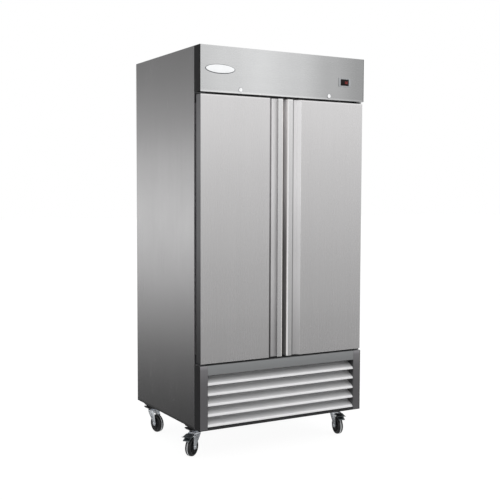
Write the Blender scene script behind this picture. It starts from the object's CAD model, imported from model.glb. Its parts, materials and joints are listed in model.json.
"""A two-door reach-in refrigerator on casters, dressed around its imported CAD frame.

Shapes are drawn in millimetres and scaled to metres when a piece is made. +Z is up and -Y is the front.
Sizes and places come from the frame's own boxes and joints.
"""
import json
import math

import bmesh
import bpy
from mathutils import Matrix, Vector


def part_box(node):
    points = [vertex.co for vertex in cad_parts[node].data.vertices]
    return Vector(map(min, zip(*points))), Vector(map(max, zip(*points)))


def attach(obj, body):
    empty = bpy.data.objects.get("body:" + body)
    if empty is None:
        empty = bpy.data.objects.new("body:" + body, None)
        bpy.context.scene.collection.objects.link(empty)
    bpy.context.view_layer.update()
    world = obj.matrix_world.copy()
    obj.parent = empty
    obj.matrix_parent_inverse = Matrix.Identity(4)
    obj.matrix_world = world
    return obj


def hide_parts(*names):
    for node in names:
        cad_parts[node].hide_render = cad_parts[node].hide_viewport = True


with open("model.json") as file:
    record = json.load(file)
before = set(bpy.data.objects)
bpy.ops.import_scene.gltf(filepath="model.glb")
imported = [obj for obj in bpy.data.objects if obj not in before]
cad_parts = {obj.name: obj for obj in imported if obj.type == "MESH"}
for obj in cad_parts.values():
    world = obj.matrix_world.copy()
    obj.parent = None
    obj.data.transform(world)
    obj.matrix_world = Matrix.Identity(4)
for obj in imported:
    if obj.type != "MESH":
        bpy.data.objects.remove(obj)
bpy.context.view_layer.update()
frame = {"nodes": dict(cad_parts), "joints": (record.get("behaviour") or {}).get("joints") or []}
NODES = frame["nodes"]
JOINTS = {joint["name"]: joint for joint in frame["joints"]}
MM = 0.001
SIDES = (("left", -1), ("right", 1))
LEVELS = (1, 2, 3)
CORNERS = ("front_left", "front_right", "rear_left", "rear_right")


# ---------------------------------------------------------------- materials

def feed(tree, made, values):
    """Sets a node's inputs, by name or number, to plain values or to other nodes' outputs."""
    for socket, value in values.items():
        if isinstance(value, bpy.types.NodeSocket):
            tree.links.new(value, made.inputs[socket])
        else:
            made.inputs[socket].default_value = value


def add(tree, kind, values=None, **settings):
    """A new shader node with its settings and inputs."""
    made = tree.nodes.new("ShaderNode" + kind)
    for name, value in settings.items():
        setattr(made, name, value)
    feed(tree, made, values or {})
    return made


def start_material(name):
    """An empty node material with one Principled shader."""
    mat = bpy.data.materials.new(name)
    mat.use_nodes = True
    mat.node_tree.nodes.clear()
    shader = add(mat.node_tree, "BsdfPrincipled")
    add(mat.node_tree, "OutputMaterial", {0: shader.outputs[0]})
    return mat, mat.node_tree, shader


def here(tree):
    """The place on the object, in metres."""
    return add(tree, "TexCoord").outputs["Object"]


def noise(tree, stretch, detail=3.0, roughness=0.55, distortion=0.0):
    """Noise in object space; stretch is the number of features per metre, the same or along X, Y and Z."""
    stretch = stretch if isinstance(stretch, tuple) else (stretch,) * 3
    scale = add(tree, "Mapping", {"Vector": here(tree), "Scale": stretch})
    return add(tree, "TexNoise", {"Vector": scale.outputs["Vector"], "Scale": 1.0, "Detail": detail,
                                  "Roughness": roughness, "Distortion": distortion}).outputs["Fac"]


def spread(tree, value, low, high, from_low=0.3, from_high=0.7):
    """Maps a 0 to 1 pattern onto a range."""
    return add(tree, "MapRange", {"Value": value, "From Min": from_low, "From Max": from_high,
                                  "To Min": low, "To Max": high}).outputs["Result"]


def combine(tree, operation, first, second):
    """Arithmetic on two patterns or numbers."""
    return add(tree, "Math", {0: first, 1: second}, operation=operation).outputs[0]


def blended(tree, first, second, share):
    """Two patterns in the proportion share to the rest."""
    return combine(tree, "ADD", combine(tree, "MULTIPLY", first, share),
                   combine(tree, "MULTIPLY", second, 1 - share))


def mixed_colour(tree, factor, first, second, blend="MIX"):
    return add(tree, "Mix", {0: factor, 6: first, 7: second}, data_type="RGBA", blend_type=blend).outputs[2]


def tinted(tree, colour, dark, light, factor):
    """A colour that goes between two multiples of itself."""
    ends = [(*(min(1.0, channel * share) for channel in colour), 1.0) for share in (dark, light)]
    return mixed_colour(tree, factor, *ends)


def bump(tree, height, strength, distance):
    return add(tree, "Bump", {"Height": height, "Strength": strength, "Distance": distance}).outputs["Normal"]


def grey_ramp(tree, position, stops, curve):
    """Grey levels at (share, value) stops."""
    made = add(tree, "ValToRGB", {0: position})
    made.color_ramp.interpolation = curve
    marks = made.color_ramp.elements
    while len(marks) < len(stops):
        marks.new(0.5)
    for mark, (share, value) in zip(marks, stops):
        mark.position = share
        mark.color = (value, value, value, 1.0)
    return made.outputs[0]


def faded(tree, colour, axis, stops):
    """A colour times a factor that follows one coordinate through (metres, value) stops."""
    place = add(tree, "SeparateXYZ", {0: here(tree)}).outputs[axis]
    low, high = stops[0][0], stops[-1][0]
    share = add(tree, "MapRange", {"Value": place, "From Min": low, "From Max": high}).outputs["Result"]
    shares = [((metres - low) / (high - low), value) for metres, value in stops]
    return mixed_colour(tree, 1.0, colour, grey_ramp(tree, share, shares, "EASE"), "MULTIPLY")


def brushed(name, colour, grain, rough, anisotropy=0.6, contrast=0.05, metal=1.0, fades=()):
    """Brushed stainless sheet: fine scratches along the grain, broad faint bands and smudges.

    Each fade is an axis with (metres, value) stops, for sheet whose finish deepens along it.
    """
    mat, tree, shader = start_material(name)

    def along_grain(across, down):
        return tuple(down if axis == grain else across for axis in "XYZ")

    scratches = noise(tree, along_grain(1500, 10), detail=4, roughness=0.7)
    bands = noise(tree, along_grain(36, 1.1), detail=2)
    smudges = noise(tree, (5, 5, 4), detail=5, roughness=0.6, distortion=0.4)
    factor = spread(tree, blended(tree, scratches, bands, 0.6), 0.0, 1.0)
    sheet = tinted(tree, colour, 1 - contrast, 1 + contrast, factor)
    for fade in fades:
        sheet = faded(tree, sheet, *fade)
    worn = combine(tree, "ADD", spread(tree, scratches, -0.045, 0.045), spread(tree, smudges, -0.02, 0.03))
    feed(tree, shader, {
        "Metallic": metal, "Anisotropic": anisotropy, "Base Color": sheet,
        "Tangent": add(tree, "Tangent", direction_type="RADIAL", axis=grain).outputs[0],
        "Roughness": combine(tree, "ADD", worn, rough), "Normal": bump(tree, scratches, 0.12, 0.00012)})
    return mat


def cast(name, colour, rough, metal=0.0, grain=700, contrast=0.12, relief=0.15, coat=0.0, fade=None,
         gloss=0.5):
    """Moulded, painted or plated surfaces: a fine even grain with slow colour drift and wear in the gloss."""
    mat, tree, shader = start_material(name)
    fine = noise(tree, grain, detail=3)
    pattern = blended(tree, fine, noise(tree, 22, detail=4, roughness=0.6), 0.4)
    surface = tinted(tree, colour, 1 - contrast, 1 + contrast, spread(tree, pattern, 0.0, 1.0, 0.35, 0.65))
    if fade:
        surface = faded(tree, surface, *fade)
    feed(tree, shader, {
        "Specular IOR Level": gloss, "Metallic": metal, "Coat Weight": coat, "Base Color": surface,
        "Roughness": spread(tree, pattern, rough - 0.07, rough + 0.07, 0.35, 0.65),
        "Normal": bump(tree, fine, relief, 0.0002)})
    return mat


def galvanised(name, colour):
    """Zinc-coated sheet with crystal spangle."""
    mat, tree, shader = start_material(name)
    cells = add(tree, "TexVoronoi", {"Vector": here(tree), "Scale": 90})
    grey = add(tree, "RGBToBW", {0: cells.outputs["Color"]}).outputs[0]
    pattern = blended(tree, grey, noise(tree, 9, detail=3), 0.7)
    feed(tree, shader, {
        "Metallic": 1.0, "Base Color": tinted(tree, colour, 0.8, 1.15, pattern),
        "Roughness": spread(tree, pattern, 0.34, 0.55, 0.2, 0.8), "Normal": bump(tree, grey, 0.08, 0.0002)})
    return mat


def foam_material(name, colour):
    """Cut rigid foam, with open bubbles."""
    mat, tree, shader = start_material(name)
    bubbles = noise(tree, 420, detail=2)
    feed(tree, shader, {
        "Base Color": tinted(tree, colour, 0.7, 1.1, noise(tree, 14, detail=4)),
        "Roughness": spread(tree, bubbles, 0.8, 0.98), "Normal": bump(tree, bubbles, 0.7, 0.001)})
    return mat


def lit_digits(name, colour, strength):
    """A glowing segment with uneven light along it."""
    mat, tree, shader = start_material(name)
    glow = tinted(tree, colour, 0.75, 1.0, noise(tree, 300, detail=2))
    feed(tree, shader, {"Base Color": glow, "Emission Color": glow, "Emission Strength": strength,
                        "Roughness": 0.4})
    return mat


DOOR_BOTTOM, DOOR_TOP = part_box("door_left_skin")[0][2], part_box("door_left_skin")[1][2]
HEADER_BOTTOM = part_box("header_panel")[0][2]
DOOR_FADE = ("Z", [(DOOR_BOTTOM, 0.97), (0.7, 0.9), (1.0, 0.855), (1.4, 0.855), (DOOR_TOP - 0.012, 0.9),
                   (DOOR_TOP - 0.008, 0.92), (DOOR_TOP - 0.003, 1.1)])
DOOR_STEEL = brushed("door_steel", (0.894, 0.882, 0.886), "Z", 0.25, contrast=0.02, fades=(DOOR_FADE,))
PULL_STEEL = brushed("door_pull_steel", (0.98, 0.97, 0.975), "Z", 0.24, fades=(DOOR_FADE,))
SLOPE_STEEL = brushed("pull_slope_steel", (0.5, 0.49, 0.495), "Z", 0.3,
                      fades=(("Z", [(0.55, 0.3), (1.0, 0.45), (1.5, 0.8), (1.86, 1.0)]),))
RECESS_FADE = ("Z", [(0.5, 0.5), (1.0, 0.76), (1.5, 0.96), (1.86, 1.0)])
RECESS_STEEL = brushed("pull_recess_steel", (0.74, 0.73, 0.735), "Z", 0.4, metal=0.3, fades=(RECESS_FADE,))
STRIP_STEEL = brushed("pull_strip_steel", (0.83, 0.82, 0.825), "Z", 0.4, metal=0.3, fades=(RECESS_FADE,))
DIM_STEEL = brushed("pull_dim_steel", (0.34, 0.335, 0.34), "Z", 0.4, metal=0.3, fades=(RECESS_FADE,))
CORNER_STEEL = brushed("pull_corner_steel", (0.8, 0.79, 0.8), "Z", 0.3, metal=0.2)
DOOR_EDGE_STEEL = brushed("door_edge_steel", (0.27, 0.27, 0.28), "Z", 0.3,
                          fades=(("Z", [(0.5, 0.43), (0.73, 0.47), (1.23, 0.63), (1.73, 1.0)]),))
DOOR_GAP_STEEL = brushed("door_gap_steel", (0.85, 0.83, 0.83), "Z", 0.4, metal=0.25,
                         fades=(("Z", [(0.6, 0.26), (1.0, 0.32), (1.5, 0.75), (1.86, 1.0)]),))
HEADER_STEEL = brushed("header_steel", (0.858, 0.864, 0.869), "X", 0.25, contrast=0.025,
                       fades=(("X", [(-0.5, 0.85), (-0.36, 0.93), (-0.157, 1.0), (0.08, 0.87), (0.28, 0.64),
                                     (0.5, 0.49)]),
                              ("Z", [(HEADER_BOTTOM, 1.35), (HEADER_BOTTOM + 0.006, 1.2),
                                     (HEADER_BOTTOM + 0.011, 1.0), (HEADER_BOTTOM + 0.02, 1.0)])))
CABINET_STEEL = brushed("cabinet_steel", (0.6, 0.595, 0.6), "Z", 0.22, contrast=0.03,
                        fades=(("Z", [(0.163, 0.3), (0.169, 0.4), (0.173, 0.72), (0.45, 0.8), (0.72, 0.88),
                                      (1.0, 0.95), (1.24, 1.0), (1.49, 0.95), (1.77, 0.84), (2.1, 0.84)]),))
FRAME_STEEL = brushed("frame_steel", (0.62, 0.62, 0.63), "Z", 0.3)
RAIL_STEEL = brushed("base_rail_steel", (0.232, 0.238, 0.242), "X", 0.45, anisotropy=0.1, contrast=0.06,
                     metal=0.4)
STILE_STEEL = brushed("base_stile_steel", (0.115, 0.112, 0.117), "Z", 0.4, anisotropy=0.2, metal=0.4,
                      fades=(("Z", [(0.16, 1.0), (0.4, 1.0), (0.47, 1.3), (0.496, 2.1)]),))
BLADE_STEEL = cast("blade_satin_steel", (0.97, 0.97, 0.99), 0.4, metal=0.2, grain=600, contrast=0.03,
                   relief=0.06,
                   fade=("Y", [(-0.3995, 0.6), (-0.397, 0.72), (-0.393, 0.93), (-0.385, 0.74), (-0.375, 0.61),
                               (-0.365, 0.57), (-0.3575, 0.63), (-0.347, 0.83)]))
CHEEK_STEEL = brushed("cheek_shaded_steel", (0.16, 0.16, 0.165), "Z", 0.4)
GALVANISED = galvanised("galvanised_sheet", (0.6, 0.62, 0.63))
LINER_METAL = brushed("liner_metal", (0.8, 0.81, 0.82), "Y", 0.38, anisotropy=0.3)
FOAM = foam_material("rigid_foam", (0.78, 0.68, 0.4))
BLACK_CAP = cast("black_cap_plastic", (0.006, 0.006, 0.0065), 0.55, relief=0.2, gloss=0.3)
SHADOW_BLACK = cast("black_trim", (0.012, 0.012, 0.013), 0.55, relief=0.1)
BEZEL = cast("bezel_plastic", (0.36, 0.37, 0.38), 0.38, metal=0.4)
WINDOW = cast("display_window_plastic", (0.008, 0.005, 0.005), 0.3, relief=0.02, gloss=0.15)
DIGITS = lit_digits("display_digits", (0.4, 0.03, 0.025), 0.3)
BADGE_WHITE = cast("badge_enamel", (0.82, 0.83, 0.84), 0.25, contrast=0.03, relief=0.03, coat=0.5)
BADGE_DARK = cast("badge_line", (0.035, 0.04, 0.05), 0.35, relief=0.05)
CHROME = cast("lock_nickel", (0.97, 0.97, 0.98), 0.22, metal=0.12, contrast=0.03, relief=0.03, coat=0.3)
ZINC = cast("zinc_plate", (0.84, 0.87, 0.91), 0.24, metal=0.85, grain=900, contrast=0.1, relief=0.08)
BLACK_PAINT = cast("black_powder_coat", (0.02, 0.02, 0.022), 0.42, grain=1100, relief=0.3)
GASKET = cast("gasket_rubber", (0.035, 0.035, 0.037), 0.62, grain=500)
TRIM_PLASTIC = cast("breaker_strip_plastic", (0.33, 0.34, 0.35), 0.45)
WHEEL_BLACK = cast("wheel_black", (0.008, 0.008, 0.009), 0.4, grain=450)
TREAD_GREY = cast("tread_grey", (0.5, 0.51, 0.52), 0.5, grain=380, contrast=0.12)
PEDAL_METAL = cast("pedal_metal", (0.16, 0.18, 0.19), 0.3, metal=0.85, contrast=0.2)
WIRE_COAT = cast("shelf_coating", (0.72, 0.74, 0.75), 0.34, metal=0.2, contrast=0.05)
FIN_METAL = cast("fin_metal", (0.66, 0.67, 0.68), 0.42, metal=1.0, grain=260, contrast=0.16)
COPPER = cast("copper_tube", (0.72, 0.36, 0.22), 0.3, metal=1.0, contrast=0.2)
FAN_METAL = brushed("fan_metal", (0.72, 0.73, 0.74), "X", 0.32)
FAN_PLASTIC = cast("fan_plastic", (0.025, 0.026, 0.028), 0.45)
HINGE_ZINC = cast("hinge_dark_zinc", (0.1, 0.1, 0.105), 0.35, metal=0.8, contrast=0.15)
SCREW_METAL = cast("screw_metal", (0.7, 0.7, 0.69), 0.28, metal=1.0, contrast=0.1)


# ---------------------------------------------------------------- shapes

def skin(part, rings, closed=False):
    """Faces between rings that follow each other, a ring of one vertex being a tip, all turned outwards."""
    pairs = list(zip(rings, rings[1:]))
    if closed:
        pairs.append((rings[-1], rings[0]))
    for lower, upper in pairs:
        count = max(len(lower), len(upper))
        for k in range(count if count > 1 else 0):
            following = (k + 1) % count
            if len(lower) == 1:
                part.faces.new((lower[0], upper[following], upper[k]))
            elif len(upper) == 1:
                part.faces.new((lower[k], lower[following], upper[0]))
            else:
                part.faces.new((lower[k], lower[following], upper[following], upper[k]))
    bmesh.ops.recalc_face_normals(part, faces=part.faces)


class Shape:
    """Collects boxes, turned profiles, drawn outlines and tubes, in millimetres, into one piece."""

    def __init__(self):
        self.bm = bmesh.new()

    def merge(self, part, place=None):
        """Takes in a part; a mirrored one keeps its faces outwards."""
        if place is not None:
            bmesh.ops.transform(part, matrix=place, verts=part.verts)
            if place.determinant() < 0:
                bmesh.ops.reverse_faces(part, faces=part.faces)
        mesh = bpy.data.meshes.new("part")
        part.to_mesh(mesh)
        part.free()
        self.bm.from_mesh(mesh)
        bpy.data.meshes.remove(mesh)

    def box(self, low, high, edge=0.0, place=None, steps=2):
        """A box between two opposite corners with rounded edges."""
        part = bmesh.new()
        bmesh.ops.create_cube(part, size=1.0)
        size = [abs(h - l) for l, h in zip(low, high)]
        middle = (Vector(high) + Vector(low)) / 2
        for vert in part.verts:
            vert.co = Vector(c * s for c, s in zip(vert.co, size)) + middle
        if edge > 0:
            bmesh.ops.bevel(part, geom=part.edges[:], offset=edge, segments=steps, affect="EDGES",
                            profile=0.5)
        self.merge(part, place)

    def turned(self, profile, steps=48, place=None):
        """A (radius, height) profile turned about +Z. It starts and ends on the axis, or closes on itself."""
        part = bmesh.new()
        closed = profile[0] == profile[-1]
        rings = []
        for radius, height in profile[:-1] if closed else profile:
            outline = arc(0, 0, radius, 0, 360, steps)[:-1] if radius > 0 else [(0, 0)]
            rings.append([part.verts.new((x, y, height)) for x, y in outline])
        skin(part, rings, closed)
        self.merge(part, place)

    def drawn(self, outline, low, high, edge=0.0, place=None, steps=2):
        """An (x, y) outline drawn out from z low to z high, with its rim edges rounded."""
        part = bmesh.new()
        rings = [[part.verts.new((x, y, z)) for x, y in outline] for z in (low, high)]
        rims = [part.faces.new(ring) for ring in rings]
        skin(part, rings)
        edges = [edge for rim in rims for edge in rim.edges]
        if edge > 0:
            bmesh.ops.bevel(part, geom=edges, offset=edge, segments=steps, affect="EDGES", profile=0.5)
        self.merge(part, place)

    def ring(self, left, right, low, high, profile, place=None):
        """A mitred rectangular frame; its profile is a closed loop of (inset, y) points."""
        part = bmesh.new()
        loops = []
        for inset, y in profile:
            corners = ((left + inset, low + inset), (right - inset, low + inset),
                       (right - inset, high - inset), (left + inset, high - inset))
            loops.append([part.verts.new((x, y, z)) for x, z in corners])
        skin(part, loops, closed=True)
        self.merge(part, place)

    def tube(self, points, radius, sides=10, closed=False):
        """A round rod along a list of points."""
        part = bmesh.new()
        line = [Vector(point) for point in points]
        count = len(line)
        rings = []
        side = None
        for k, point in enumerate(line):
            before = line[k - 1] if (k or closed) else point
            after = line[(k + 1) % count] if (k < count - 1 or closed) else point
            ahead = (after - before).normalized()
            if side is None:
                side = ahead.orthogonal().normalized()
            side = (side - ahead * side.dot(ahead)).normalized()
            other = ahead.cross(side)
            rings.append([part.verts.new(point + u * side + v * other)
                          for u, v in arc(0, 0, radius, 0, 360, sides)[:-1]])
        if not closed:
            part.faces.new(rings[0])
            part.faces.new(rings[-1])
        skin(part, rings, closed)
        self.merge(part)

    def piece(self, name, material, body, slot, stands_for=(), sharp=34, finish=None):
        """Makes the object, which rides on a CAD body.

        finish gives the material of a face from its centre in millimetres and its normal.
        """
        mesh = bpy.data.meshes.new(name)
        self.bm.to_mesh(mesh)
        self.bm.free()
        finishes = [material]
        for face in mesh.polygons if finish else ():
            own = finish(face.center, face.normal)
            if own not in finishes:
                finishes.append(own)
            face.material_index = finishes.index(own)
        for used in finishes:
            mesh.materials.append(used)
        mesh.transform(Matrix.Scale(MM, 4))
        mesh.shade_smooth()
        mesh.set_sharp_from_angle(angle=math.radians(sharp))
        made = bpy.data.objects.new(name, mesh)
        bpy.context.scene.collection.objects.link(made)
        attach(made, body)
        if stands_for:
            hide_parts(*stands_for)


def arc(cx, cy, radius, start, end, steps=8):
    """Points of a circular arc between two angles in degrees."""
    angles = [math.radians(start + (end - start) * k / steps) for k in range(steps + 1)]
    return [(cx + radius * math.cos(a), cy + radius * math.sin(a)) for a in angles]


def rounded_outline(width, height, corner, steps=6):
    """A rectangle about the origin with round corners."""
    points = []
    x, y = width / 2 - corner, height / 2 - corner
    for k, (sx, sy) in enumerate(((1, 1), (-1, 1), (-1, -1), (1, -1))):
        points += arc(sx * x, sy * y, corner, 90 * k, 90 * k + 90, steps)
    return points


def oval(half_width, half_height):
    return [(half_width * x, half_height * y) for x, y in arc(0, 0, 1, 0, 360, 72)[:-1]]


def hexagon(radius):
    return arc(0, 0, radius, 0, 300, 5)


def at(x, y, z):
    return Matrix.Translation((x, y, z))


def turn_about(axis, degrees):
    return Matrix.Rotation(math.radians(degrees), 4, axis)


def facing_front(x, y, z):
    """Places a shape drawn in XY so that its +Z looks out of the front, towards -Y."""
    return at(x, y, z) @ turn_about("X", 90)


def mirrored(sign, front=0):
    """From a right half, drawn back from a front plane, to either side of the cabinet."""
    return at(0, front, 0) @ Matrix.Diagonal((sign, 1, 1, 1))


def corners(node):
    """A node's box in millimetres."""
    low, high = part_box(node)
    return [value / MM for value in low], [value / MM for value in high]


def joint_at(name):
    """A joint's place in millimetres."""
    return [value / MM for value in JOINTS[name]["pos_m"]]


def dress(node, material, edge=0.0):
    """Gives a CAD node its material and rounds its folded edges, in millimetres."""
    made = NODES[node]
    made.data.materials.clear()
    made.data.materials.append(material)
    if edge > 0:
        rounding = made.modifiers.new("rounding", "BEVEL")
        rounding.width = edge * MM
        rounding.segments = 2
        rounding.limit_method = "ANGLE"
        rounding.angle_limit = math.radians(40)
        rounding.harden_normals = True


def pan_screw(shape, place, radius):
    """A low round screw head standing on the local XY plane."""
    shape.turned([(0, 0), (radius, 0), (radius, 0.25 * radius), (0.75 * radius, 0.55 * radius),
                  (0.4 * radius, 0.66 * radius), (0, 0.68 * radius)], 20, place)


# ---------------------------------------------------------------- cabinet

for node, material, edge in (
        ("outer_shell", CABINET_STEEL, 0.6), ("insulation_foam", FOAM, 0), ("interior_liner", LINER_METAL, 0),
        ("front_frame", FRAME_STEEL, 0.8), ("centre_mullion", FRAME_STEEL, 1.5),
        ("machine_floor", GALVANISED, 0.5), ("rear_cover", GALVANISED, 0.4),
        ("header_panel", HEADER_STEEL, 0.7), ("base_grille", RAIL_STEEL, 0),
        ("caster_channel_front", BLACK_PAINT, 1.5),
        ("caster_channel_rear", BLACK_PAINT, 1.5), ("controller", BEZEL, 0.5), ("compressor", BLACK_PAINT, 0),
        ("condenser_coil", FIN_METAL, 0), ("condenser_fan_shroud", BLACK_PAINT, 0),
        ("condenser_fan", FAN_METAL, 0), ("evaporator_housing", LINER_METAL, 0),
        ("evaporator_fan", FAN_PLASTIC, 0)):
    dress(node, material, edge)
for side, _ in SIDES:
    for node, material, edge in (
            (f"header_end_cap_{side}", BLACK_CAP, 1.2), (f"base_end_cap_{side}", BLACK_CAP, 1.2),
            (f"door_{side}_skin", DOOR_STEEL, 0.7), (f"door_{side}_core", FOAM, 0),
            (f"door_{side}_inner_panel", LINER_METAL, 0), (f"door_{side}_gasket", GASKET, 0),
            (f"hinge_top_{side}", HINGE_ZINC, 0.6), (f"hinge_bottom_{side}", HINGE_ZINC, 0.6),
            (f"lock_{side}", CHROME, 0.4)):
        dress(node, material, edge)
    for level in LEVELS:
        dress(f"shelf_{side}_{level}", WIRE_COAT)
for corner in CORNERS:
    for kind, material in (("plate", ZINC), ("fork", ZINC), ("axle", ZINC), ("wheel", WHEEL_BLACK)):
        dress(f"caster_{corner}_{kind}", material)
    if corner.startswith("front"):
        dress(f"brake_pedal_{corner}", PEDAL_METAL)


# ---------------------------------------------------------------- header

def make_badge():
    """A blank oval plaque with a thin dark line round it."""
    x, z = -387.5, 1986.5
    sheet = corners("header_panel")[0][1] - 0.05
    rim = Shape()
    rim.drawn(oval(84.2, 23.4), 0, 1.1, 0.4, facing_front(x, sheet, z - 0.8))
    rim.piece("badge_rim", BADGE_DARK, "cabinet", "bezel")
    face = Shape()
    face.drawn(oval(80.8, 20.7), 1.0, 1.7, 0.3, facing_front(x, sheet, z))
    face.piece("badge_face", BADGE_WHITE, "cabinet", "bezel")


SEGMENTS = {"3": "abcdg", "8": "abcdefg"}
STROKES = {"a": (0, 1, 0), "g": (0, 0, 0), "d": (0, -1, 0), "b": (0.5, 0.5, 90), "c": (0.5, -0.5, 90),
           "e": (-0.5, -0.5, 90), "f": (-0.5, 0.5, 90)}    # across, up, turn in degrees


def make_display():
    """The window in the controller's bezel, with two generic seven-segment digits."""
    low, high = corners("controller")
    x, z = (low[0] + high[0]) / 2, (low[2] + high[2]) / 2
    window = Shape()
    window.drawn(rounded_outline(52.6, 33.6, 2), 0, 0.8, 0.2, facing_front(x, low[1] + 1.35, z))
    window.piece("display_window", WINDOW, "cabinet", "display")
    wide, tall, half_thick = 5.4, 5.6, 0.7
    digits = Shape()
    for place, digit in enumerate("38"):
        for stroke in SEGMENTS[digit]:
            across, up, turn = STROKES[stroke]
            where = facing_front(x + 5 + 10 * place + across * wide, low[1] + 0.6, z + up * tall)
            half = ((tall if turn else wide) - 0.6) / 2
            ends = [(-half, 0), (half_thick - half, half_thick), (half - half_thick, half_thick),
                    (half, 0), (half - half_thick, -half_thick), (half_thick - half, -half_thick)]
            digits.drawn(ends, 0, 0.15, 0, where @ turn_about("Z", turn))
    digits.piece("display_digits", DIGITS, "cabinet", "display")


def make_lock(side):
    """Key lock: stepped rim, plug with a keyway, barrel, and the cam behind the header sheet."""
    x, _, z = joint_at(f"lock_{side}_turn")
    low, high = corners(f"lock_{side}")
    front = facing_front(x, low[1], z)
    back = low[1] - high[1]
    lock = Shape()
    lock.turned([(0, -0.9), (5.6, -0.9), (6.0, -0.5), (6.4, -0.1), (7.4, 0), (9.6, 0), (10.6, -0.1),
                 (11.6, -0.35), (12, -1.0), (12, -1.7), (9.7, -1.7), (9.7, -19.5), (0, -19.5)], 48, front)
    lock.turned([(0, -19), (8.2, -19), (8.2, back), (0, back)], 6, front)
    half = 6
    cam = arc(high[0] - x - half, 0, half, -90, 90, 12) + arc(0, 0, half, 90, 270, 12)
    lock.drawn(cam, back, back + 2.5, 0.4, front)

    def finish(centre, normal):
        return BEZEL if math.hypot(centre.x - x, centre.z - z) > 9.4 else CHROME

    lock.piece(f"lock_cylinder_{side}", CHROME, f"lock_{side}", "lock_metal", (f"lock_{side}",),
               finish=finish)
    keyway = Shape()
    keyway.box((-0.8, -3.6, -0.95), (0.8, 3.6, -0.84), place=front)
    keyway.piece(f"lock_keyway_{side}", SHADOW_BLACK, f"lock_{side}", "black_cap")


make_badge()
make_display()
for side, _ in SIDES:
    make_lock(side)


# ---------------------------------------------------------------- base panel

def make_base_panel():
    """Folded frame with full-height stiles, five blades with rolled lips, and the dark sill under them."""
    (left, front, bottom), (right, back, top) = corners("base_grille")
    stile, rail, sill, sheet = 43, 50, 17, 1.5
    under_rail = top - rail
    frame_top, stiles, cheeks, sill_strip, blades = (Shape() for _ in range(5))
    frame_top.box((left + stile + 0.4, front, under_rail), (right - stile - 0.4, front + sheet, top), 0.5)
    frame_top.box((left, front + sheet / 2, top - sheet), (right, back, top), 0.4)
    frame_top.box((left + stile, front + sheet / 2, under_rail),
                  (right - stile, front + 14, under_rail + sheet), 0.4)
    for sign, outer in ((1, left), (-1, right)):
        inner = outer + sign * stile
        stiles.box((outer, front, bottom + 4), (inner, front + sheet, top - 0.4), 0.5)
        stiles.box((outer, front + sheet / 2, bottom), (outer + sign * sheet, back, top - sheet), 0.4)
        cheeks.box((inner, front + sheet, bottom + sill - 4),
                   (inner + sign * sheet, back - 3, under_rail + 26), 0.4)
    sill_strip.box((left, front + 1.2, bottom), (right, back, bottom + sheet), 0.4)
    sill_strip.box((left, front + 0.7, bottom), (right, front + 2.4, bottom + sill - 5), 0.5)
    pitch, first, rise = 53.5, 402.5, 29
    y0, y1 = front + 1, back - 3
    along_x = Matrix(((0, 0, 1, 0), (1, 0, 0, 0), (0, 1, 0, 0), (0, 0, 0, 1)))
    for row in range(5):
        lip = first - row * pitch
        section = [(y0 + 1.2, lip - 9), (y0 + 2.4, lip - 9.4), (y0 + 2.7, lip - 8), (y0 + 2.9, lip - 4),
                   (y0 + 6, lip + 0.4), (y1, lip + rise - 1.3), (y1, lip + rise), (y0 + 9, lip + 4.6),
                   (y0 + 4.6, lip + 1.6), (y0 + 2.2, lip - 1.4), (y0 + 0.8, lip - 5)]
        blades.drawn(section, left + stile + sheet, right - stile - sheet, 0, along_x)
    for shape, name, material, slot in (
            (frame_top, "frame_top", RAIL_STEEL, "grille_skin"),
            (stiles, "frame_stiles", STILE_STEEL, "grille_skin"),
            (cheeks, "frame_cheeks", CHEEK_STEEL, "grille_skin"),
            (sill_strip, "sill", SHADOW_BLACK, "black_paint"),
            (blades, "louvre_blades", BLADE_STEEL, "grille_skin")):
        shape.piece(f"base_{name}", material, "cabinet", slot, ("base_grille",))


make_base_panel()


# ---------------------------------------------------------------- casters

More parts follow.
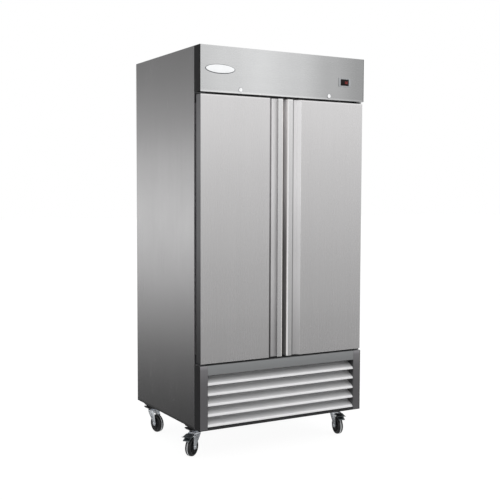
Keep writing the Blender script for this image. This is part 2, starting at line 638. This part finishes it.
def make_caster(corner):
    """Mounting plate, fork, axle, tyre with a tread band and, on the front ones, a brake pedal.

    They are drawn upright about the swivel, with the wheel trailing towards +X.
    """
    swivel_at, axle_at = (Vector(joint_at(f"caster_{corner}_{motion}")) for motion in ("swivel", "roll"))
    trail = axle_at - swivel_at
    reach, hub = trail.to_2d().length, axle_at.z
    stand = at(swivel_at.x, swivel_at.y, 0)
    swivel = stand @ Matrix.Rotation(math.atan2(trail.y, trail.x), 4, "Z")
    sideways = swivel @ turn_about("X", 90)
    at_axle = swivel @ at(reach, 0, hub) @ turn_about("X", 90)
    braked = corner.startswith("front")
    top = corners(f"caster_{corner}_plate")[1][2]

    plate = Shape()
    plate.drawn(rounded_outline(92, 76, 8), top - 4, top, 0.8, stand)
    plate.turned([(0, 136.5), (27.5, 136.5), (29, 134), (28.2, 130.2), (25, 127.2), (0, 127.2)], 48, stand)
    for bolt in ((-35, -27), (-35, 27), (35, -27), (35, 27)):
        plate.drawn(hexagon(6), 0, 5.5, 0.5, stand @ at(*bolt, top - 9.5))
    plate.drawn(hexagon(9.5), 0, 7, 0.7, stand @ at(0, 0, 104))
    plate.turned([(0, 110), (6, 110), (6, 128), (0, 128)], 20, stand)

    def finish(centre, normal):
        return HINGE_ZINC if centre.z > top - 9.8 else ZINC

    plate.piece(f"caster_mount_{corner}", ZINC, "cabinet", "zinc", (f"caster_{corner}_plate",), finish=finish)

    fork = Shape()
    leg = [(-25, 121.5), (-25, 112), (-17, 100), (reach - 13.5, hub + 4)]
    leg += arc(reach, hub, 12.6, 190, 360, 10)
    leg += ([(45.5, 104), (45.5, 119), (36, 122.5)] if braked
            else [(reach + 9, hub + 12), (38, 96), (26, 122.5)])
    rib = [(-15, 108), (-9, 108), (reach - 3, hub + 14), (reach - 7, hub + 16)]
    for sign in (1, -1):
        fork.drawn(leg, sign * 18, sign * 21, 0.9, sideways)
        fork.drawn(rib, sign * 20.4, sign * 22.2, 0.8, sideways)
    fork.box((-25, -20.5, 115.5), (27, 20.5, 118.5), 1.2, swivel)
    fork.turned([(7, 117), (30.5, 117), (32, 119), (31.5, 122), (28, 125.5), (24, 126.6), (7, 126.6),
                 (7, 117)], 48, swivel)
    fork.piece(f"caster_housing_{corner}", ZINC, f"swivel_{corner}", "zinc", (f"caster_{corner}_fork",))

    axle = Shape()
    axle.turned([(0, -25), (5.6, -25), (5.6, 25), (0, 25)], 24, at_axle)
    for low in (22.6, -26):
        axle.drawn(hexagon(8.8), low, low + 3.4, 0.5, at_axle)
    for low in (21.8, -22.8):
        axle.turned([(5.6, low), (10.5, low), (10.5, low + 1), (5.6, low + 1), (5.6, low)], 32, at_axle)
    axle.piece(f"caster_bolt_{corner}", ZINC, f"swivel_{corner}", "zinc", (f"caster_{corner}_axle",))

    wheel = (f"wheel_{corner}", "wheel_rubber", (f"caster_{corner}_wheel",))
    tyre = Shape()
    half = [(6.3, 16.6), (12.5, 16.6), (13.6, 15.4), (14.2, 9.5), (16, 8.2), (32, 8.2), (34.4, 9.6),
            (36.5, 13.2), (39.5, 14.8), (42.6, 14.9),
            (45.4, 13.8), (47.6, 11.6), (49.0, 8.6), (49.6, 5.6), (49.7, 3.0)]
    tyre.turned(half + [(r, -h) for r, h in reversed(half)] + half[:1], 96, at_axle)
    for spoke in range(8):
        tyre.box((13.4, -1.3, -12), (35.2, 1.3, 12), 0.7, at_axle @ turn_about("Z", 45 * spoke))
    tyre.piece(f"caster_tyre_{corner}", WHEEL_BLACK, *wheel)
    tread = Shape()
    band = [(49.0, 2.9), (hub - 0.1, 2.7), (hub, 2.0)]
    tread.turned(band + [(r, -h) for r, h in reversed(band)] + band[:1], 96, at_axle)
    tread.piece(f"caster_tread_{corner}", TREAD_GREY, *wheel)
    if braked:
        make_pedal(corner, swivel, sideways)


def make_pedal(corner, swivel, sideways):
    """Stamped brake pedal: press-down paddle with a turned-up tip, and the release lip under it."""
    pedal = Shape()
    upper = [(50, 117.5), (50, 120), (60, 118.8), (76, 115.4), (90, 112.4), (97, 113.2), (100.8, 115.2),
             (100.8, 113), (97, 110.8), (90, 109.6), (76, 112.4), (62, 115.4)]
    lower = [(57, 106), (66, 104.6), (80, 99.6), (91, 93.6), (93.6, 90), (95.8, 90.8), (94.2, 95), (82, 102),
             (68, 107.2), (58, 109)]
    cheek = [(34, 110), (34, 116.6), (39, 119.6), (70, 116.6), (78, 112.4), (74, 102.6), (62, 105.4),
             (45, 107.6)]
    block = [(36, 110.5), (36, 115.6), (56, 116.6), (58, 109.4)]
    for outline, low, high, edge in ((upper, -23, 23, 0.7), (lower, -19, 19, 0.7), (cheek, -17, -14.5, 0.6),
                                     (cheek, 14.5, 17, 0.6), (block, -15, 15, 0.8)):
        pedal.drawn(outline, low, high, edge, sideways)
    pin = swivel @ at(39, 0, 113) @ turn_about("X", 90)
    pedal.turned([(0, -24), (3.1, -24), (3.1, 24), (0, 24)], 20, pin)
    pedal.piece(f"caster_brake_{corner}", PEDAL_METAL, f"pedal_{corner}", "pedal_metal",
                (f"brake_pedal_{corner}",))


for corner in CORNERS:
    make_caster(corner)


# ---------------------------------------------------------------- doors

LIP_ROUND = 9
RECESS_DEEP, RECESS_DIM_X = 16, 61
SLOPE_FROM, PULL_END = 77, 100
INNER_X, OUTER_X = 13, 496.5
DOOR_DEEP = 48


def door_front_profile():
    """The outside of the right door in plan, (x, depth): round lip, recess behind it, slope, face."""
    line = [(INNER_X, DOOR_DEEP)]
    line += arc(INNER_X + LIP_ROUND, LIP_ROUND, LIP_ROUND, 180, 270)
    line += arc(43.6, 1.5, 1.5, 270, 450, 6)
    line += [(20, 3), (20, RECESS_DEEP), (RECESS_DIM_X, RECESS_DEEP)]
    line += arc(76, 12, 4, 90, 49, 4)
    line += arc(97.5, 4, 4, 229, 270, 4)
    line += arc(OUTER_X - 2.5, 2.5, 2.5, 270, 360, 5)
    line += [(OUTER_X, DOOR_DEEP)]
    return line


def door_back_profile(sheet=1.2):
    """The inside of the same folded sheet."""
    return [(OUTER_X - sheet, DOOR_DEEP), (OUTER_X - sheet, 2.8), (OUTER_X - 3, sheet), (98, sheet),
            (78, RECESS_DEEP + sheet), (18.8, RECESS_DEEP + sheet), (18.8, 4.2), (14.2, 9.4),
            (INNER_X + sheet, DOOR_DEEP)]


def make_door(side, sign):
    """Folded skin with the pull in it, its top notched for the lock's cam, then the liner and the gasket."""
    low, high = corners(f"door_{side}_skin")
    lock_x = abs(joint_at(f"lock_{side}_turn")[0])
    front, bottom, top = low[1], low[2], high[2]
    sheet = 1.2
    door = Shape()
    place = mirrored(sign, front)
    outside = door_front_profile()
    door.drawn(outside + door_back_profile(sheet), bottom + sheet, top - sheet, 0, place)
    door.drawn(outside, bottom, bottom + sheet, 0.5, place)
    slot = (lock_x - 8, lock_x + 30)
    pull_side = [point for point in outside if point[0] < 200]
    door.drawn(pull_side + [(slot[0], 0), (slot[0], DOOR_DEEP)], top - sheet, top, 0.5, place)
    hinge_side = [point for point in outside if point[0] > 200]
    door.drawn([(slot[1], DOOR_DEEP), (slot[1], 0)] + hinge_side, top - sheet, top, 0.5, place)
    for near, far in ((0, 14), (20.5, DOOR_DEEP)):
        door.box((slot[0] - 1, near, top - sheet), (slot[1] + 1, far, top), 0.4, place)

    def finish(centre, normal):
        """The sheet's tone: the edges, then the parts of the pull, then the plain face."""
        x = abs(centre.x)
        if x > OUTER_X - 0.6:
            return DOOR_EDGE_STEEL
        if x < INNER_X + 0.6:
            return DOOR_GAP_STEEL
        if x >= PULL_END or abs(normal.z) >= 0.5:
            return DOOR_STEEL
        if x > SLOPE_FROM and normal.x > 0.15:
            return SLOPE_STEEL
        if x < INNER_X + 8 and centre.y < front + 8:
            return CORNER_STEEL
        if centre.x > 75 and normal.x < -0.15:
            return STRIP_STEEL
        if centre.y > front + RECESS_DEEP - 2 and x < SLOPE_FROM:
            return DIM_STEEL if 0 < centre.x < RECESS_DIM_X else RECESS_STEEL
        return PULL_STEEL

    door.piece(f"door_panel_{side}", DOOR_STEEL, f"door_{side}", "door_skin", (f"door_{side}_skin",),
               finish=finish)
    make_inner_panel(side, sign)
    make_gasket(side, sign)


def make_inner_panel(side, sign):
    """Pressed liner of the door: a flange, a raised field with round corners, and two long beads in it."""
    low, high = corners(f"door_{side}_inner_panel")
    x0, x1 = sorted((abs(low[0]), abs(high[0])))
    wide, tall = x1 - x0, high[2] - low[2]
    place = mirrored(sign) @ at((x0 + x1) / 2, high[1], (low[2] + high[2]) / 2) @ turn_about("X", -90)
    panel = Shape()
    panel.drawn(rounded_outline(wide, tall, 6), -1.5, 0, 0.5, place)
    step = 0
    for inset, rise in ((36, 2.5), (40, 5.5), (46, 7.6), (52, 8.4)):
        panel.drawn(rounded_outline(wide - 2 * inset, tall - 2 * inset, 34 - inset * 0.3), step - 0.4, rise,
                    min(1.4, (rise - step) * 0.45), place, 3)
        step = rise
    for column in (-1, 1):
        bead = [(column * (wide / 2 - 96) + x, math.copysign(tall / 2 - 120, y) + y)
                for x, y in arc(0, 0, 9, 7.5, 352.5, 23)]
        panel.drawn(bead, step - 0.3, step + 1.2, 0.55, place, 3)
    panel.piece(f"door_liner_{side}", LINER_METAL, f"door_{side}", "liner", (f"door_{side}_inner_panel",))


def make_gasket(side, sign):
    """Magnetic bellows seal: a hollow magnet bar on a folded foot, mitred round the door."""
    low, high = corners(f"door_{side}_gasket")
    x0, x1 = sorted((abs(low[0]), abs(high[0])))
    y0, y1 = low[1], high[1]
    profile = [(0, y0), (18, y0), (18, y0 + 2), (15.4, y0 + 3.2), (14.8, y0 + 4.4), (17.4, y0 + 5.8),
               (18, y0 + 7), (18, y1 - 1),
               (17, y1), (10, y1), (9, y1 - 0.6), (8, y1), (1, y1), (0, y1 - 1), (0, y0 + 7),
               (0.6, y0 + 5.8), (3.2, y0 + 4.4), (2.6, y0 + 3.2), (0, y0 + 2)]
    seal = Shape()
    seal.ring(x0, x1, low[2], high[2], profile, mirrored(sign))
    seal.piece(f"door_seal_{side}", GASKET, f"door_{side}", "seal", (f"door_{side}_gasket",))


for side, sign in SIDES:
    make_door(side, sign)


# ---------------------------------------------------------------- cabinet front details

def make_gap_trims():
    """Black drip channel over the doors and black threshold under them, behind the door fronts."""
    door_low, door_high = corners("door_right_skin")
    cap_top = corners("base_end_cap_left")[1][2]
    header_bottom = corners("header_panel")[0][2]
    frame_front = corners("front_frame")[0][1]
    half_wide = 462
    trims = Shape()
    for low_z, high_z in ((door_high[2] + 3.5, header_bottom - 0.2), (cap_top + 0.6, door_low[2] - 4)):
        trims.box((-half_wide, frame_front - 34, low_z), (half_wide, frame_front - 0.3, high_z), 0.8)
    trims.piece("door_gap_trims", SHADOW_BLACK, "cabinet", "black_cap")


def make_hinge_screws():
    """Two screws in the front face of each hinge bracket."""
    screws = Shape()
    for side, sign in SIDES:
        for end in ("top", "bottom"):
            low, high = corners(f"hinge_{end}_{side}")
            for drop in (12, 30):
                z = low[2] + drop if end == "top" else high[2] - drop
                pan_screw(screws, facing_front(sign * 485, high[1] - 3, z), 4.2)
    screws.piece("hinge_screws", SCREW_METAL, "cabinet", "zinc")


make_gap_trims()
make_hinge_screws()


# ---------------------------------------------------------------- storage space

def make_shelf(node):
    """Coated wire shelf: round-cornered border rods, close long wires and three cross rods."""
    low, high = corners(node)
    x0, x1, y0, y1 = low[0], high[0], low[1], high[1]
    z = high[2] - 2
    rod, thin, corner = 3, 1.6, 14
    shelf = Shape()
    border = []
    for cx, cy, start in ((x1 - corner, y1 - corner, 0), (x0 + corner, y1 - corner, 90),
                          (x0 + corner, y0 + corner, 180), (x1 - corner, y0 + corner, 270)):
        border += [(x, y, z - rod) for x, y in arc(cx, cy, corner - rod, start, start + 90, 5)]
    shelf.tube(border, rod, 10, closed=True)
    count = round((x1 - x0) / 22)
    for k in range(1, count):
        x = x0 + (x1 - x0) * k / count
        shelf.tube([(x, y0 + 2, z - 3.6), (x, y0 + 5, z - thin), (x, y1 - 5, z - thin), (x, y1 - 2, z - 3.6)],
                   thin, 6)
    for share in (0.06, 0.35, 0.65, 0.94):
        y = y0 + (y1 - y0) * share
        shelf.tube([(x0 + 3, y, z - 4.8), (x1 - 3, y, z - 4.8)], 2.2, 8)
    shelf.piece(f"wire_{node}", WIRE_COAT, "cabinet", "shelf_wire", (node,))


def make_pilasters():
    """Slotted shelf standards on the side walls and down the middle, with a clip under each shelf corner."""
    liner_low, liner_high = corners("interior_liner")
    wall = liner_high[0] - 1.2
    shelves = [corners(f"shelf_right_{level}") for level in LEVELS]
    front_y, back_y = shelves[0][0][1] + 46, shelves[0][1][1] - 46
    bottom, top = liner_low[2] + 40, corners("evaporator_housing")[0][2] - 20
    strips, slots, clips = Shape(), Shape(), Shape()
    for sign in (-1, 1):
        for y in (front_y, back_y):
            strips.box((sign * wall, y - 9, bottom), (sign * (wall - 4), y + 9, top), 1)
            for row in range(int((top - bottom - 30) / 26)):
                z = bottom + 20 + row * 26
                slots.box((sign * (wall - 4.05), y - 5, z), (sign * (wall - 3.8), y + 5, z + 4))
    middle_back = liner_high[1] - 1.2
    strips.box((-10, middle_back - 4, bottom), (10, middle_back, top), 1)
    post_back = corners("centre_mullion")[1][1]
    strips.box((-10, post_back, bottom), (10, post_back + 3, top - 60), 1)
    for low, high in shelves:
        under = low[2] - 0.3
        for sign in (-1, 1):
            for y in (front_y, back_y):
                clips.box((sign * (wall - 4), y - 7, under - 2), (sign * (high[0] - 9), y + 7, under), 0.5)
                clips.box((sign * (wall - 4.2), y - 7, under - 14), (sign * (wall - 6), y + 7, under + 7),
                          0.5)
        clips.box((-22, middle_back - 26, under - 2), (22, middle_back - 4, under), 0.5)
        clips.box((-22, post_back + 3, under - 2), (22, low[1] + 12, under), 0.5)
    strips.piece("shelf_standards", GALVANISED, "cabinet", "galvanised")
    slots.piece("shelf_standard_slots", SHADOW_BLACK, "cabinet", "black_cap")
    clips.piece("shelf_clips", ZINC, "cabinet", "zinc")


def make_breakers():
    """Plastic strips that bridge the face frame and the liner round each opening."""
    liner_low, liner_high = corners("interior_liner")
    y0 = corners("front_frame")[1][1] + 0.6
    y1 = y0 + 39.4
    profile = [(0, y0), (2.2, y0), (2.6, y0 + 6), (1.2, y0 + 12), (2.4, y1 - 4), (1.2, y1), (0, y1)]
    post_side = corners("centre_mullion")[1][0]
    opening_top = 1823
    strips = Shape()
    for _, sign in SIDES:
        strips.ring(post_side + 1, liner_high[0] - 1.4, liner_low[2] + 1.4, opening_top, profile,
                    mirrored(sign))
    strips.piece("breaker_strips", TRIM_PLASTIC, "cabinet", "liner")


def wire_guard(shape, x, y, z, radius, rings, spokes, rod=1.4, dish=6):
    """A dished wire finger guard in the XZ plane, bulging towards -Y."""
    def at_share(share, turn, lift=0.0):
        return (x + radius * share * math.cos(turn), y - dish * (1 - share * share) + lift,
                z + radius * share * math.sin(turn))

    for k in range(rings):
        shape.tube([at_share((k + 1) / rings, 2 * math.pi * j / 40) for j in range(40)], rod, 6, closed=True)
    for k in range(spokes):
        turn = math.pi / spokes * k + 0.3
        shape.tube([at_share(j / 4, turn, 2 * rod) for j in range(-4, 5)], rod * 1.2, 6)


def make_fan(node, material, radius, hub, deep, blades=5):
    """Axial fan about Y: a domed hub and twisted, swept blades."""
    centre = at(*joint_at(f"{node}_spin")) @ turn_about("X", 90)
    fan = Shape()
    half = deep / 2
    fan.turned([(0, half + 2), (hub * 0.5, half + 1.4), (hub * 0.86, half - 1), (hub, half - 4), (hub, -half),
                (0, -half)], 40, centre)
    steps = 7
    for k in range(blades):
        sections = []
        for j in range(steps + 1):
            share = j / steps
            r = hub - 3 + (radius * 0.97 - hub + 3) * share
            pitch = math.radians(38 - 16 * share)
            reach = radius * (0.2 + 0.12 * math.sin(math.pi * min(1.0, share * 1.1)))
            sweep = 0.2 * share * share
            row = []
            for m in range(6):
                across = 2 * m / 5 - 1
                along = across * reach
                camber = 0.03 * reach * (1 - across ** 2)
                turn = sweep + along * math.cos(pitch) / r
                rise = along * math.sin(pitch) * half / (reach * 0.62) * 0.9
                row.append((r * math.cos(turn), r * math.sin(turn),
                            max(-half + 0.6, min(half - 0.6, rise)) + camber))
            sections.append(row)
        part = bmesh.new()
        sheets = [[[part.verts.new((px, py, ph + lift)) for px, py, ph in row] for row in sections]
                  for lift in (0.7, -0.7)]
        top, under = sheets
        for j in range(steps):
            for m in range(5):
                part.faces.new((top[j][m], top[j + 1][m], top[j + 1][m + 1], top[j][m + 1]))
                part.faces.new((under[j][m + 1], under[j + 1][m + 1], under[j + 1][m], under[j][m]))
        loop = [(0, m) for m in range(6)] + [(j, 5) for j in range(1, steps + 1)]
        loop += [(steps, m) for m in range(4, -1, -1)] + [(j, 0) for j in range(steps - 1, 0, -1)]
        for (j0, m0), (j1, m1) in zip(loop, loop[1:] + loop[:1]):
            part.faces.new((top[j0][m0], top[j1][m1], under[j1][m1], under[j0][m0]))
        bmesh.ops.recalc_face_normals(part, faces=part.faces)
        fan.merge(part, centre @ turn_about("Z", 360 * k / blades))
    slot = "fan_metal" if material is FAN_METAL else "fan_plastic"
    fan.piece(f"{node}_rotor", material, node, slot, (node,))


def make_evaporator():
    """The fan's wire guard, the drain pan with its pipe, and the housing's screws."""
    low, high = corners("evaporator_housing")
    x, _, z = joint_at("evaporator_fan_spin")
    guard = Shape()
    wire_guard(guard, x, low[1] - 1.5, z, 76, 7, 4)
    guard.piece("evaporator_fan_guard", ZINC, "cabinet", "zinc")
    pan = Shape()
    pan.box((low[0] + 4, low[1] + 4, low[2] - 9), (high[0] - 4, high[1] - 4, low[2] - 0.4), 2.5)
    pipe = ((-30, -6), (60, -16), (84, -30), (88, -90))
    pan.tube([(high[0] - 40, high[1] + behind, low[2] + up) for behind, up in pipe], 6, 12)
    pan.piece("evaporator_drain_pan", LINER_METAL, "cabinet", "liner")
    screws = Shape()
    for sx in (-1, 1):
        for sz in (low[2] + 16, high[2] - 16):
            pan_screw(screws, facing_front(sx * (high[0] - 24), low[1], sz), 4)
            pan_screw(screws, facing_front(sx * 96, low[1], sz), 4)
    screws.piece("evaporator_screws", SCREW_METAL, "cabinet", "zinc")


for side, _ in SIDES:
    for level in LEVELS:
        make_shelf(f"shelf_{side}_{level}")
make_pilasters()
make_breakers()
make_evaporator()
make_fan("evaporator_fan", FAN_PLASTIC, radius=68, hub=18, deep=20)


# ---------------------------------------------------------------- machine compartment and back

def make_condenser():
    """Finned block with hairpin bends at both ends, between two folded end plates."""
    low, high = corners("condenser_coil")
    y0, y1 = low[1] + 6, high[1] - 6
    fins = Shape()
    count = 72
    for k in range(count):
        x = low[0] + 8 + (high[0] - low[0] - 16) * k / (count - 1)
        fins.box((x - 0.6, y0, low[2] + 30), (x + 0.6, y1, high[2] - 4))
    fins.piece("condenser_fins", FIN_METAL, "cabinet", "coil", ("condenser_coil",))
    frame_plates = Shape()
    for x, toe in ((low[0], (-10, 4)), (high[0] - 4, (0, 14))):
        frame_plates.box((x, low[1], low[2] + 24), (x + 4, high[1], high[2]), 0.6)
        frame_plates.box((x + toe[0], low[1] + 2, low[2]), (x + toe[1], high[1] - 2, low[2] + 25), 0.6)
    frame_plates.box((low[0] + 2, y0, low[2]), (high[0] - 2, y1, low[2] + 3), 0.6)
    frame_plates.piece("condenser_end_plates", GALVANISED, "cabinet", "coil", ("condenser_coil",))
    pipes = Shape()
    rows = 10
    for column, y in enumerate((y0 + 10, y1 - 10)):
        for row in range(rows):
            z = low[2] + 44 + row * 24
            pipes.tube([(low[0] + 2, y, z), (high[0] - 2, y, z)], 4, 10)
            if row + 1 < rows:
                outward, base = (1, high[0] - 3) if (row + column) % 2 else (-1, low[0] + 3)
                bend = [(base + outward * 9 * s, y, z + 12 - 12 * c) for c, s in arc(0, 0, 1, 0, 180, 9)]
                pipes.tube(bend, 4, 10)
    pipes.piece("condenser_tubes", COPPER, "cabinet", "coil", ("condenser_coil",))


def make_compressor():
    """Welded shell with a seam, feet rails on rubber mounts, terminal cover and copper stubs."""
    low, high = corners("compressor")
    x, y = (low[0] + high[0]) / 2, 60    # the terminal cover takes the box's middle off the shell's in Y
    shell = Shape()
    top, bottom = high[2], low[2] + 14
    profile = [(0, bottom), (70, bottom), (80, bottom + 5), (84, bottom + 14), (86, 262), (87, 264.5),
               (89.4, 265.4), (90, 267), (90, 273), (89.4, 274.6), (87, 275.5), (86, 278), (85, 345),
               (80, 362), (66, 378), (48, 386), (26, 390.6), (0, top)]
    shell.turned(profile, 72, at(x, y, 0))
    shell.piece("compressor_shell", BLACK_PAINT, "cabinet", "black_paint", ("compressor",), sharp=60)
    rails, mounts = Shape(), Shape()
    for dy in (-65, 65):
        rails.box((low[0], y + dy - 10, low[2] + 10), (high[0], y + dy + 10, low[2] + 13), 1)
        rails.box((low[0], y + dy + 8.5, low[2] + 3), (high[0], y + dy + 10, low[2] + 12), 0.5)
        for fx in (low[0] + 14, high[0] - 14):
            foot = at(fx, y + dy, low[2])
            mounts.turned([(0, 0), (9, 0), (9.6, 2), (8, 4), (9.6, 6), (9, 10), (0, 10)], 24, foot)
            rails.drawn(hexagon(5.5), 13, 17.5, 0.5, foot)
    rails.piece("compressor_rails", BLACK_PAINT, "cabinet", "black_paint", ("compressor",))
    mounts.piece("compressor_mounts", GASKET, "cabinet", "seal", ("compressor",))
    cover = Shape()
    cover.box((225, low[1], 250), (270, low[1] + 46, 310), 5, steps=4)
    cover.piece("compressor_terminal_cover", BLACK_CAP, "cabinet", "black_cap", ("compressor",))
    lines = Shape()
    lines.tube([(150, 40, 300), (128, 30, 306), (100, 10, 320), (84, -60, 350), (70, -160, 388),
                (60, -270, 408), (48, -288, 410)], 3.2, 10)
    lines.tube([(166, 120, 330), (140, 160, 345), (120, 210, 380), (118, 270, 420), (118, 318, 450),
                (118, 330, 456)], 4.8, 12)
    lines.tube([(230, 146, 230), (232, 166, 231), (236, 184, 236), (238, 190, 252), (238, 190, 262)], 3.2, 10)
    lines.piece("refrigerant_lines", COPPER, "cabinet", "coil")


def make_fan_guard():
    x, _, z = joint_at("condenser_fan_spin")
    guard = Shape()
    wire_guard(guard, x, corners("condenser_fan_shroud")[0][1] - 0.5, z, 123, 9, 4, 1.3, 5)
    guard.piece("condenser_fan_guard", BLACK_PAINT, "cabinet", "black_paint")


def make_back_screws():
    """Low screw heads along the top and bottom of the rear cover."""
    low, high = corners("rear_cover")
    screws = Shape()
    for share in (0.02, 0.26, 0.5, 0.74, 0.98):
        for z in (low[2] + 9, high[2] - 9):
            facing_back = at(low[0] + (high[0] - low[0]) * share, high[1], z) \
                @ turn_about("Z", 180) @ turn_about("X", 90)
            pan_screw(screws, facing_back @ Matrix.Diagonal((1, 1, 0.15, 1)), 4.4)
    screws.piece("rear_cover_screws", SCREW_METAL, "cabinet", "zinc")


make_condenser()
make_compressor()
make_fan("condenser_fan", FAN_METAL, radius=112, hub=26, deep=24)
make_fan_guard()
make_back_screws()


# ---------------------------------------------------------------- stage, light and camera

def make_world():
    """White to the camera; a soft studio of graded walls to everything that reflects it."""
    world = bpy.data.worlds.new("studio")
    bpy.context.scene.world = world
    world.use_nodes = True
    tree = world.node_tree
    tree.nodes.clear()
    split = add(tree, "SeparateXYZ", {0: add(tree, "TexCoord").outputs["Generated"]})
    elevation = combine(tree, "MULTIPLY", combine(tree, "ARCSINE", split.outputs["Z"], 0.0), 180 / math.pi)
    share = combine(tree, "ADD", combine(tree, "DIVIDE", elevation, 60.0), 0.5)

    def wall(levels):
        """Brightness by elevation in degrees, from -30 to 30."""
        return grey_ramp(tree, share, [(degrees / 60 + 0.5, value) for degrees, value in levels], "B_SPLINE")

    front = wall([(-30, 0.4), (-22, 0.2), (-16, 0.1), (-12.5, 0.2), (-9, 0.42), (-5, 0.52), (0, 0.68),
                  (6, 0.86), (14, 0.95), (30, 0.8)])
    rear = wall([(-30, 0.4), (-23, 0.16), (-17, 0.06), (-12, 0.14), (-8, 0.4), (-4.5, 0.78), (-1, 0.92),
                 (3, 0.66), (7, 0.32), (12, 0.22), (30, 0.5)])
    walls = mixed_colour(tree, spread(tree, split.outputs["Y"], 0.0, 1.0, -0.35, 0.35), front, rear)
    reflected, even, white = (
        add(tree, "Background", {"Color": colour, "Strength": strength}).outputs[0]
        for colour, strength in ((walls, 1.0), ((1, 1, 1, 1), 0.75), ((1, 1, 1, 1), 1.0)))
    path = add(tree, "LightPath").outputs
    soft = add(tree, "MixShader", {0: path["Is Diffuse Ray"], 1: reflected, 2: even}).outputs[0]
    final = add(tree, "MixShader", {0: path["Is Camera Ray"], 1: soft, 2: white}).outputs[0]
    add(tree, "OutputWorld", {0: final})


def make_floor():
    """A pale sweep that glows a little, so that shadows on it stay faint."""
    mesh = bpy.data.meshes.new("floor")
    half = 40.0
    square = [(-half, -half, 0), (half, -half, 0), (half, half, 0), (-half, half, 0)]
    mesh.from_pydata(square, [], [(0, 1, 2, 3)])
    floor = bpy.data.objects.new("floor", mesh)
    bpy.context.scene.collection.objects.link(floor)
    mat, tree, shader = start_material("pale_floor")
    feed(tree, shader, {
        "Base Color": tinted(tree, (0.125,) * 3, 0.96, 1.04, noise(tree, 60, detail=2)), "Roughness": 0.9,
        "Specular IOR Level": 0.1, "Emission Color": (1, 1, 1, 1), "Emission Strength": 0.93})
    mesh.materials.append(mat)
    floor.visible_glossy = False


def area_light(name, place, target, size, power):
    """A soft rectangular lamp, unseen by the camera and in reflections; in metres and watts."""
    data = bpy.data.lights.new(name, "AREA")
    data.shape = "RECTANGLE"
    data.size, data.size_y = size
    data.energy = power
    light = bpy.data.objects.new(name, data)
    light.location = place
    light.rotation_euler = (Vector(target) - Vector(place)).to_track_quat("-Z", "Y").to_euler()
    light.visible_glossy = False
    light.visible_camera = False
    bpy.context.scene.collection.objects.link(light)


def make_camera():
    """The camera that sees the refrigerator as the photo does, fitted to its straight edges."""
    place, turned, lens = (-2.4779, -4.342, 1.3668), (86.348, -0.1905, -29.88), 63.716
    data = bpy.data.cameras.new("camera")
    data.sensor_width = 36.0
    data.lens = lens
    camera = bpy.data.objects.new("camera", data)
    camera.location = place
    camera.rotation_euler = [math.radians(angle) for angle in turned]
    bpy.context.scene.collection.objects.link(camera)
    bpy.context.scene.camera = camera


make_world()
make_floor()
area_light("key_light", (-2.2, -4.5, 4.2), (0, 0, 1.0), (2.5, 2.5), 60)
area_light("fill_light", (3.5, -3.5, 2.5), (0, 0, 0.8), (3.0, 3.0), 40)
make_camera()
bpy.context.scene.view_settings.view_transform = "Standard"
